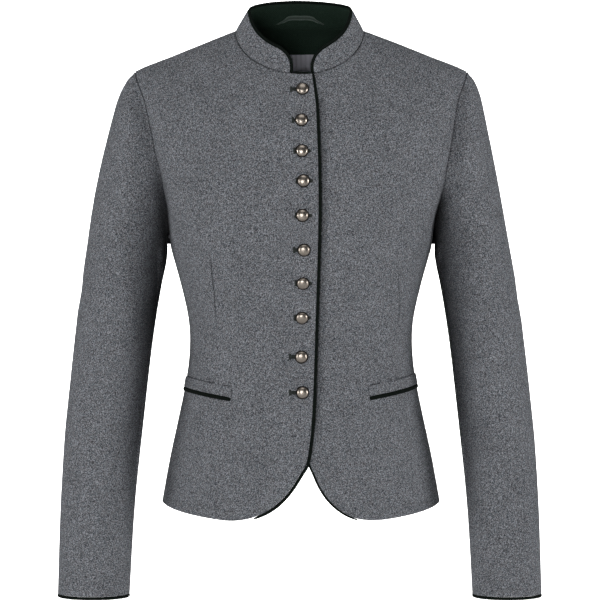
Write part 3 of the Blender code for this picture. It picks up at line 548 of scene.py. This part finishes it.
def foldAtArm(piece, other, side, isSleeve):
    points, table = coords(piece), armFold[side]
    tree, furthest = treeOf(other), armFold["furthest"] * mm
    found = [tree.find_nearest(p, furthest)[3] for p in map(Vector, points)]
    away = np.array([furthest if d is None else d for d in found]) / mm
    height = points[:, 2] / mm
    front = smoothStep(-points[:, 1] / (armFold["frontFade"] * mm))
    deep = armFold["depth"] * smoothStep((table["top"] - height) / armFold["topFade"])
    deep *= smoothStep((height - table["foot"]) / armFold["footFade"])
    reach = np.interp(height, table["height"], table["reach"]) if isSleeve else armFold["onBody"]
    inward = np.interp(height, table["height"], table["inward"]) * np.exp(-(away / armFold["seamReach"]) ** 2)
    points[:, 1] += deep * np.exp(-away / reach) * front * mm
    points[:, 0] += inward * front * mm * (1 if side == "right" else -1)
    setCoords(piece, points)


innerShade = {  # mm: how strongly the cloth colour next to the body is darkened as painted shade, and how far round, where a sleeve shuts it off from the light
    "right": {"height": (-560, -450, -390, -330, -250, -220, -190, -150),
              "strength": (0.1, 0.3, 0.6, 1.0, 1.0, 0.95, 0.75, 0), "width": (14, 14, 16, 20, 20, 16, 11, 6)},
    "left": {"height": (-560, -450, -400, -330, -250, -220, -195, -170),
             "strength": (0.1, 0.5, 0.7, 0.85, 1.0, 1.0, 0.95, 0), "width": (12, 14, 16, 18, 19, 17, 14, 6)},
    "falloff": 1.8, "behind": 25, "backFade": 30, "levels": 50, "ring": 12,
}


def shadeInside(piece, side):
    points, table = coords(piece) / mm, innerShade[side]
    out, height = np.abs(points[:, 0]), points[:, 2]
    levels = np.linspace(height.min(), height.max(), innerShade["levels"])
    inner = [out[np.abs(height - level) < innerShade["ring"]].min() for level in levels]
    strength, width = (np.interp(height, table["height"], table[row]) for row in ("strength", "width"))
    away = np.clip(out - np.interp(height, levels, inner), 0, None)
    ahead = smoothStep((innerShade["behind"] - points[:, 1]) / innerShade["backFade"])
    # painted shade on the sleeve's inner side, kept for the finish to darken the colour
    keep(piece, "paintedShade", strength * np.exp(-(away / width) ** innerShade["falloff"]) * ahead)


frontDarts = {  # waist darts, from the bust down to the pocket
    "right": [{"x": (-106, -101, -99), "z": (-250, -309, -345), "fade": (14, 30), "strength": 1.5}],
    "left": [{"x": (113.4, 116, 112), "z": (-262, -322, -352), "fade": (14, 30), "strength": 1.0}],
}
backLines = [  # middle seam and two waist darts, as such a back is cut
    {"x": (0, 0), "z": (-10, -700), "fade": (4, 4), "strength": 0.9},
    {"x": (-86, -80, -84), "z": (-205, -320, -430), "fade": (30, 30), "strength": 0.8},
    {"x": (85, 79, 84), "z": (-208, -318, -426), "fade": (30, 30), "strength": 0.8},
]


def weltLine(side):  # the seam along the top of a pocket's welt
    points = coords(nodes[f"pocket_welt_{side}"]) / mm
    edges = np.linspace(points[:, 0].min(), points[:, 0].max(), 12)
    groups = [points[(points[:, 0] >= a - 0.1) & (points[:, 0] <= b + 0.1)] for a, b in zip(edges[:-1], edges[1:])]
    tops = [group[np.argmax(group[:, 2])] for group in groups if len(group)]
    return {"x": [top[0] for top in tops], "z": [top[2] + 0.5 for top in tops], "fade": (1.5, 1.5),
            "strength": 1.4, "level": True}


underDip = {  # mm: the lower front lies back beside the edge of the upper one, between two heights
    "depth": 4.2, "width": 8.0, "top": -48, "topFade": 30, "foot": -478, "footFade": 40, "window": 6,
}


def sinkUnder(piece):
    edge = coords(nodes["piping_front_right"]) / mm
    heights = np.unique(edge[:, 2].round(0))
    sides = [edge[np.abs(edge[:, 2] - height) < underDip["window"], 0].max() for height in heights]
    points = coords(piece)
    height = points[:, 2] / mm
    past = points[:, 0] / mm - np.interp(height, heights, sides)
    deep = underDip["depth"] * smoothStep(1 - past / underDip["width"])
    deep *= smoothStep((underDip["top"] - height) / underDip["topFade"])
    deep *= smoothStep((height - underDip["foot"]) / underDip["footFade"])
    points[:, 1] += deep * mm * (points[:, 1] < 0)
    setCoords(piece, points)


panels = {}
for side in ("left", "right"):
    front = fromSolid(f"front_{side}", f"front_{side}_cloth", loden)
    markSeams(front, ("back", f"sleeve_{side}", "collar"), frontDarts[side] + [weltLine(side)])
    foldAtArm(front, f"sleeve_{side}", side, False)
    moveBody(front)
    if side == "left":
        sinkUnder(front)
    panels[f"front_{side}"] = front
back = fromSolid("back", "back_cloth", loden)
markSeams(back, ("front_left", "front_right", "sleeve_left", "sleeve_right", "collar"), backLines)
moveBody(back)
panels["back"] = back
print("fronts and back made")

for side in ("left", "right"):
    sleeve = fromSolid(f"sleeve_{side}", f"sleeve_{side}_cloth", loden)
    axisOf = sleeveAxis(sleeve)
    markSeams(sleeve, (f"front_{side}", "back"), roll=seamPress["roll"],
              centre=lambda points: sleeveCentre(points, axisOf))
    shadeInside(sleeve, side)
    foldAtArm(sleeve, f"front_{side}", side, True)
    moveSleeve(sleeve, side, axisOf)
    panels[f"sleeve_{side}"] = sleeve
print("sleeves made")


def lineInside(piece, chosen):  # the faces turned to the neck take the facing's dark green
    piece.data.materials.append(facingCloth)
    for face in piece.data.polygons:
        if chosen(face.center, face.normal):
            face.material_index = 1


hangerShape = {  # mm: a band on narrow ends, by how far out it is: its height and half width before and after
    "x": (0, 11, 15, 20, 24, 28), "middleX": -0.7,
    "was": (7.05, 6.2, 5.1, 3.7, 0.4, -1.0), "wasHalf": (2.55, 2.5, 2.4, 2.35, 3.3, 2.0),
    "middle": (8.5, 8.3, 7.3, 4.6, 2.5, 0.7), "half": (3.1, 3.0, 2.7, 1.7, 1.3, 0.8),
    "raised": 1.0, "groove": 0.4,  # its edges are rolled up beside a groove, whose width is a share of the half
}


def shapeHanger(piece, shape):
    points = coords(piece) / mm
    out = np.abs(points[:, 0] - shape["middleX"])
    was, wasHalf, middle, half = (np.interp(out, shape["x"], shape[row])
                                  for row in ("was", "wasHalf", "middle", "half"))
    up = (points[:, 2] - was) / wasHalf
    points[:, 2] = middle + up * half
    isFront = smoothStep([-vertex.normal.y for vertex in piece.data.vertices])
    groove = np.exp(-(up / shape["groove"]) ** 2)
    points[:, 1] -= shape["raised"] * isFront * (1 - groove)
    setCoords(piece, points * mm)
    # painted shade: the tape's colour is darkened along the groove
    keep(piece, "paintedShade", groove)


collar = fromSolid("collar", "collar_cloth", loden)
markSeams(collar, ("front_left", "front_right", "back"))
lineInside(collar, lambda c, n: n.x * c.x + n.y * c.y < -0.3 * math.hypot(c.x, c.y) or n.z > 0.55)
lineInside(panels["back"], lambda c, n: abs(c.x) < 0.078 and c.z > -0.03 and n.y < -0.2 and c.y > 0.02)
collarFacing = fromSolid("collar_facing", "collar_facing_cloth", facingCloth, edge=0.25)
neckFacing = fromSolid("neck_facing", "neck_facing_cloth", facingCloth, edge=0.25)
backLining = fromSolid("back_lining", "back_lining_cloth", lining, 3, 0.2)
hanger = fromSolid("hanger_loop", "hanger_loop_tape", tape, edge=0.25)
shapeHanger(hanger, hangerShape)
print("collar, facings, lining and hanger made")

for side in ("left", "right"):
    welt = fromSolid(f"pocket_welt_{side}", f"pocket_welt_{side}_cloth", loden, edge=0.35)
    moveBody(welt)

cordFill = {"front": 0.2, "collar": 0.3, "cuff": 0.48, "pocket": 0.48}  # mm that the cord inside fills the piping out
cutawayFill = {"more": 0.36, "top": -395, "over": 45}  # mm: the fronts' piping is fuller below the lap


def fillOut(piece, amount):
    mesh = bmesh.new()
    mesh.from_mesh(piece.data)
    mesh.normal_update()
    for v, shift in [(v, v.normal * amount(v.co.z / mm) * mm) for v in mesh.verts]:
        v.co += shift
    mesh.to_mesh(piece.data)
    mesh.free()


for node in ("piping_collar", "piping_cuff_left", "piping_cuff_right", "piping_front_left", "piping_front_right",
             "pocket_piping_left", "pocket_piping_right"):
    piece = fromSolid(node, f"{node}_cord", trimCloth, edge=0.0, hold=0.0)
    fill = next(fill for place, fill in cordFill.items() if place in node)
    more = cutawayFill["more"] if "front" in node else 0
    fillOut(piece, lambda z: fill + more * float(smoothStep((cutawayFill["top"] - z) / cutawayFill["over"])))
    if "front" in node or "pocket" in node:
        moveBody(piece)
    if node == "piping_front_left":
        sinkUnder(piece)
print("welts and pipings made")


# Buttons: domed, with a thin rolled rim and a blackened step inside it

buttonShape = {  # mm
    "radius": 7.75, "rim": 0.42, "dome": 4.6, "back": 0.5, "shank": 1.3, "shankFoot": -2.0,
    "sides": 48, "spin": 0.61,  # sides round it, and how far each is turned from the last, in radians
}


def buttonProfile(shape):  # (radius, height, how dark the colour is made), from the shank's foot to the top; the rolled rim and the dome's foot are darkened as painted dark reflection
    radius, low, rim = shape["radius"], shape["back"], shape["rim"]
    rows = [(shape["shank"], shape["shankFoot"], 1.0), (shape["shank"], low, 1.0), (radius - 1.6, low, 0.9),
            (radius - rim * 0.7, low, 0.8)]
    # painted dark reflection: the rolled rim is darkened all round
    for degrees in (-50, -15, 25, 65, 105, 140):
        turn = math.radians(degrees)
        rows.append((radius - rim + rim * math.cos(turn), low + rim + rim * math.sin(turn), 0.9))
    inner, base = radius - 2 * rim, low + rim * 1.1
    rows.append((inner, base, 0.95))
    # painted dark reflection: the dome is darkened from its foot up to about twenty degrees
    for degrees in range(6, 90, 7):
        turn = math.radians(degrees)
        rows.append((inner * 0.985 * math.cos(turn) ** 0.92, base + (shape["dome"] - base) * math.sin(turn),
                     max(0.0, 0.8 - degrees / 25)))
    return rows + [(0.0, shape["dome"], 0.0)]


def turnedMesh(name, rows, sides):  # closed, its axis along Z, and each ring's darkness kept as an attribute, blackening and painted dark reflection alike
    mesh = bmesh.new()
    layer = mesh.verts.layers.float.new("patinaAndRimShade")
    rings = []
    for radius, height, dark in rows:
        count = 1 if radius == 0 else sides
        ring = []
        for k in range(count):
            turn = 2 * math.pi * k / sides
            v = mesh.verts.new((radius * math.cos(turn) * mm, radius * math.sin(turn) * mm, height * mm))
            v[layer] = dark
            ring.append(v)
        rings.append(ring)
    for low, high in zip(rings[:-1], rings[1:]):
        for k in range(sides):
            m = (k + 1) % sides
            mesh.faces.new((low[k], low[m], high[0]) if len(high) == 1 else (low[k], low[m], high[m], high[k]))
    mesh.faces.new(list(reversed(rings[0])))
    data = bpy.data.meshes.new(name)
    mesh.to_mesh(data)
    mesh.free()
    return data


def turningAxis(points):  # the axis of a turned piece, from the spread of its points, pointing forward
    axes = np.linalg.eigh(np.cov((points - points.mean(0)).T))[1]
    axis = Vector(axes[:, np.argmax(np.abs(axes[1]))])
    return axis if axis.y < 0 else -axis


def buttonFrame(node):  # where the button's back lies on its axis, and the axes across, upward and along it
    mesh = bmesh.new()
    mesh.from_mesh(nodes[node].data)
    bmesh.ops.remove_doubles(mesh, verts=mesh.verts, dist=clothBuild["merge"] * mm)
    points = np.array([v.co for v in mesh.verts])
    mesh.free()
    axis = turningAxis(points)
    heights = points @ np.array(axis)
    radial = points - np.outer(heights, axis)
    centre = (radial.max(0) + radial.min(0)) / 2
    across = Vector((1, 0, 0))
    across = (across - axis * across.dot(axis)).normalized()
    return Vector(centre) + axis * (heights.max() - buttonShape["dome"] * mm), across, axis.cross(across), axis


buttons, buttonFrames = [], []
for number in range(1, 11):
    node = f"button_{number:02d}"
    place, *axes = buttonFrame(node)
    piece = placed(f"{node}_dome", turnedMesh(node, buttonProfile(buttonShape), buttonShape["sides"]), silver)
    turn = Matrix(axes).transposed() @ Matrix.Rotation(buttonShape["spin"] * number, 3, "Z")
    piece.data.transform(Matrix.Translation(place) @ turn.to_4x4())
    piece.data.shade_smooth()
    piece.data.set_sharp_from_angle(angle=math.radians(clothBuild["corner"]))
    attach(piece, "root")
    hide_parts(node)
    buttons.append(piece)
    buttonFrames.append((place, *axes))
print("buttons made")


# Buttonholes: purl stitches close together round each slit, and a bar at the end that shows

holeShape = {  # mm
    "length": 16.0, "height": 3.2, "bar": 6.6, "barPast": 1.7, "barHalf": 0.55,
    "slit": (-3.5, -0.5, 1.0, 1.8, 2.0, -1.8, 1.3, 1.3, -3.8, -5.0),  # its middle from the button's, along the front
    "spacing": 0.5, "reach": 2.1, "thread": 0.42, "lift": 0.12, "seed": 7,
    "lean": 0.16, "size": (0.86, 1.12),  # how unevenly the stitches lean, in radians, and vary in size
}


def stitchTree(name, material):
    tree = bpy.data.node_groups.new(name, "GeometryNodeTree")
    tree.interface.new_socket("Geometry", in_out="INPUT", socket_type="NodeSocketGeometry")
    for label in ("Spacing", "Reach", "Thread"):
        tree.interface.new_socket(label, in_out="INPUT", socket_type="NodeSocketFloat")
    tree.interface.new_socket("Seed", in_out="INPUT", socket_type="NodeSocketInt")
    tree.interface.new_socket("Geometry", in_out="OUTPUT", socket_type="NodeSocketGeometry")
    given = addNode(tree, "NodeGroupInput").outputs
    points = addNode(tree, "GeometryNodeCurveToPoints", {"mode": "LENGTH"},
                     {"Curve": given["Geometry"], "Length": given["Spacing"]})
    bead = addNode(tree, "GeometryNodeMeshUVSphere", None, {"Segments": 6, "Rings": 5, "Radius": 1.0})
    half = addNode(tree, "ShaderNodeMath", {"operation": "MULTIPLY"}, {0: given["Reach"], 1: 0.5})
    size = addNode(tree, "ShaderNodeCombineXYZ", None,
                   {"X": half.outputs[0], "Y": given["Thread"], "Z": given["Thread"]})
    shaped = addNode(tree, "GeometryNodeTransform", None,
                     {"Geometry": bead.outputs["Mesh"], "Scale": size.outputs[0]})
    along = addNode(tree, "FunctionNodeAlignRotationToVector", {"axis": "Y", "pivot_axis": "Z"},
                    {"Vector": points.outputs["Tangent"]})
    lean = addNode(tree, "FunctionNodeRandomValue", {"data_type": "FLOAT"},
                   {2: -holeShape["lean"], 3: holeShape["lean"], "Seed": given["Seed"]})
    tilt = addNode(tree, "ShaderNodeCombineXYZ", None, {"Z": lean.outputs[1]})
    leaned = addNode(tree, "FunctionNodeRotateRotation", {"rotation_space": "LOCAL"},
                     {"Rotation": along.outputs[0]})
    turned = addNode(tree, "FunctionNodeEulerToRotation", None, {"Euler": tilt.outputs[0]})
    tree.links.new(turned.outputs[0], leaned.inputs["Rotate By"])
    grow = addNode(tree, "FunctionNodeRandomValue", {"data_type": "FLOAT"},
                   {2: holeShape["size"][0], 3: holeShape["size"][1], "Seed": given["Seed"]})
    sewn = addNode(tree, "GeometryNodeInstanceOnPoints", None,
                   {"Points": points.outputs["Points"], "Instance": shaped.outputs[0],
                    "Rotation": leaned.outputs[0], "Scale": grow.outputs[1]})
    real = addNode(tree, "GeometryNodeRealizeInstances", None, {"Geometry": sewn.outputs[0]})
    finished = addNode(tree, "GeometryNodeSetMaterial", None, {"Geometry": real.outputs[0], "Material": material})
    addNode(tree, "NodeGroupOutput", None, {"Geometry": finished.outputs[0]})
    return tree


def slitCurve(shape, number):  # a rounded slot, its opening and an upright bar, flat on XY
    reach = shape["reach"] / 2
    half, rise = shape["length"] / 2 + reach * 0.5, shape["height"] / 2 * 0.6 + reach * 0.5
    rise += 0.12 * math.sin(number * 2.3)  # no two are quite alike
    middle = shape["slit"][number - 1]
    ring = []
    for k in range(64):
        c, s = math.cos(2 * math.pi * k / 64), math.sin(2 * math.pi * k / 64)
        ring.append((math.copysign(abs(c) ** 0.35, c) * half + middle, math.copysign(abs(s) ** 0.55, s) * rise))
    foot = middle - shape["length"] / 2 - shape["barPast"]
    steps = [k / 10 - 0.5 for k in range(11)]
    bars = [[(foot + aside, step * shape["bar"]) for step in steps] for aside in (-shape["barHalf"], shape["barHalf"])]
    opening = [(middle + step * shape["length"], 0) for step in steps]
    data = bpy.data.curves.new("slit", "CURVE")
    data.dimensions = "3D"
    for line in (ring, *bars, opening):
        spline = data.splines.new("POLY")
        spline.points.add(len(line) - 1)
        for point, (x, y) in zip(spline.points, line):
            point.co = (x * mm, y * mm, 0, 1)
        spline.use_cyclic_u = line is ring
    return data


def sewnMesh(sewing, shape, number):
    curve = bpy.data.objects.new("slit", slitCurve(shape, number))
    bpy.context.scene.collection.objects.link(curve)
    sewn = curve.modifiers.new("stitches", "NODES")
    sewn.node_group = sewing
    sockets = {item.name: item.identifier for item in sewing.interface.items_tree if item.in_out == "INPUT"}
    for label, value in (("Spacing", shape["spacing"] * mm), ("Reach", shape["reach"] * mm),
                         ("Thread", shape["thread"] * mm), ("Seed", shape["seed"] + number)):
        sewn[sockets[label]] = value
    mesh = bpy.data.meshes.new_from_object(curve.evaluated_get(bpy.context.evaluated_depsgraph_get()))
    bpy.data.objects.remove(curve)
    return mesh


def layOn(mesh, tree, place, across, upward, axis):  # the front curves a little under the slit
    mesh.transform(Matrix.Translation(place) @ Matrix((across, upward, axis)).transposed().to_4x4())
    for v in mesh.vertices:
        height = (v.co - place).dot(axis)
        foot = v.co - axis * height
        hit = tree.ray_cast(foot + axis * 0.012, -axis, 0.03)[0]
        level = (hit - foot).dot(axis) if hit is not None else 0.0
        level = level if level > -0.0012 else 0.0  # the slot itself goes deeper
        v.co = foot + axis * (height + level + holeShape["lift"] * mm)


sewing = stitchTree("purlStitches", thread)
frontTree = BVHTree.FromObject(panels["front_right"], bpy.context.evaluated_depsgraph_get())
stitches = bmesh.new()
for number, buttonAxes in enumerate(buttonFrames, start=1):
    mesh = sewnMesh(sewing, holeShape, number)
    layOn(mesh, frontTree, *buttonAxes)
    stitches.from_mesh(mesh)
    bpy.data.meshes.remove(mesh)
data = bpy.data.meshes.new("buttonhole_stitches")
stitches.to_mesh(data)
stitches.free()
holes = placed("buttonhole_stitches", data, thread)
holes.data.shade_smooth()
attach(holes, "root")
print("buttonholes sewn")


# Floor and light

studio = {
    # each soft light's bearing and elevation in degrees, its power in watts, and its width and height in metres
    "soft": {"left": (-70, 5, 52, (1.2, 1.6)), "right": (72, 5, 69, (1.2, 1.6)),
             "overhead": (0, 80, 44, (3.6, 3.6)), "front": (-11, 8, 60, (1.6, 1.0))},
    "distance": 4.5, "aim": (0, 0, -0.3),  # of the soft lights
    "floor": -1.02, "reach": 30, "grain": 167,  # the floor's height and half width in metres; its grain in mm
    "behind": {"place": (0, 6.2, 3.0), "towards": (0, 6.2, -1), "size": (5, 9), "power": 400, "spread": 75},
    "neck": {"place": (0, -4.5, 0.42), "towards": (0, 0.06, -0.030), "power": 60,  # a small spot into the collar
             "cone": 1.3, "blend": 0.6, "lamp": 0.05},
    "world": 0.02, "paper": 0.85,  # light from all round, and how bright floor and wall look straight on
}


def seenBrightness(tree, base):  # base for the light on the object, and the paper's brightness for the eye
    seen = addNode(tree, "ShaderNodeLightPath").outputs["Is Camera Ray"]
    return ranged(tree, seen, {"To Min": base, "To Max": studio["paper"]})


def makeFloor(height):
    mesh = bmesh.new()
    bmesh.ops.create_grid(mesh, x_segments=1, y_segments=1, size=studio["reach"])
    data = bpy.data.meshes.new("floor")
    mesh.to_mesh(data)
    mesh.free()
    paper, tree, place = newMaterial("whitePaper")  # matt studio paper, evenly white
    shade = ranged(tree, noise(tree, place, studio["grain"], 2.0), {"To Min": 0.90, "To Max": 0.92})
    shader = addNode(tree, "ShaderNodeBsdfDiffuse", None, {"Color": shade})
    glow = addNode(tree, "ShaderNodeEmission", None, {"Strength": seenBrightness(tree, 0.0)})
    both = addNode(tree, "ShaderNodeAddShader", None, {0: shader.outputs[0], 1: glow.outputs[0]})
    addNode(tree, "ShaderNodeOutputMaterial", None, {"Surface": both.outputs[0]})
    floor = placed("floor", data, paper)
    floor.location = (0, 0, height)


def makeLight(name, kind, place, towards, settings):
    data = bpy.data.lights.new(name, kind)
    for setting, value in settings.items():
        setattr(data, setting, value)
    light = bpy.data.objects.new(name, data)
    bpy.context.scene.collection.objects.link(light)
    light.location = place
    light.rotation_euler = (Vector(towards) - Vector(place)).to_track_quat("-Z", "Y").to_euler()


def panel(size, power, spread=180):  # a flat soft light
    return {"shape": "RECTANGLE", "size": size[0], "size_y": size[1], "energy": power, "spread": math.radians(spread)}


makeFloor(studio["floor"])
aim = Vector(studio["aim"])
for name, (bearing, elevation, power, size) in studio["soft"].items():
    turn, lift = math.radians(bearing), math.radians(elevation)
    towardsLight = Vector((math.cos(lift) * math.sin(turn), -math.cos(lift) * math.cos(turn), math.sin(lift)))
    makeLight(name, "AREA", aim + towardsLight * studio["distance"], aim, panel(size, power))
behind, neck = studio["behind"], studio["neck"]
makeLight("backdrop", "AREA", behind["place"], behind["towards"],
          panel(behind["size"], behind["power"], behind["spread"]))
makeLight("neck", "SPOT", neck["place"], neck["towards"],
          {"energy": neck["power"], "spot_size": math.radians(neck["cone"]), "spot_blend": neck["blend"],
           "shadow_soft_size": neck["lamp"]})
world = bpy.data.worlds.new("studio")
world.use_nodes = True
world.node_tree.nodes["Background"].inputs["Color"].default_value = (1, 1, 1, 1)
world.node_tree.links.new(seenBrightness(world.node_tree, studio["world"]),
                          world.node_tree.nodes["Background"].inputs["Strength"])
bpy.context.scene.world = world
bpy.context.scene.view_settings.view_transform = "Standard"
print("floor and light set")
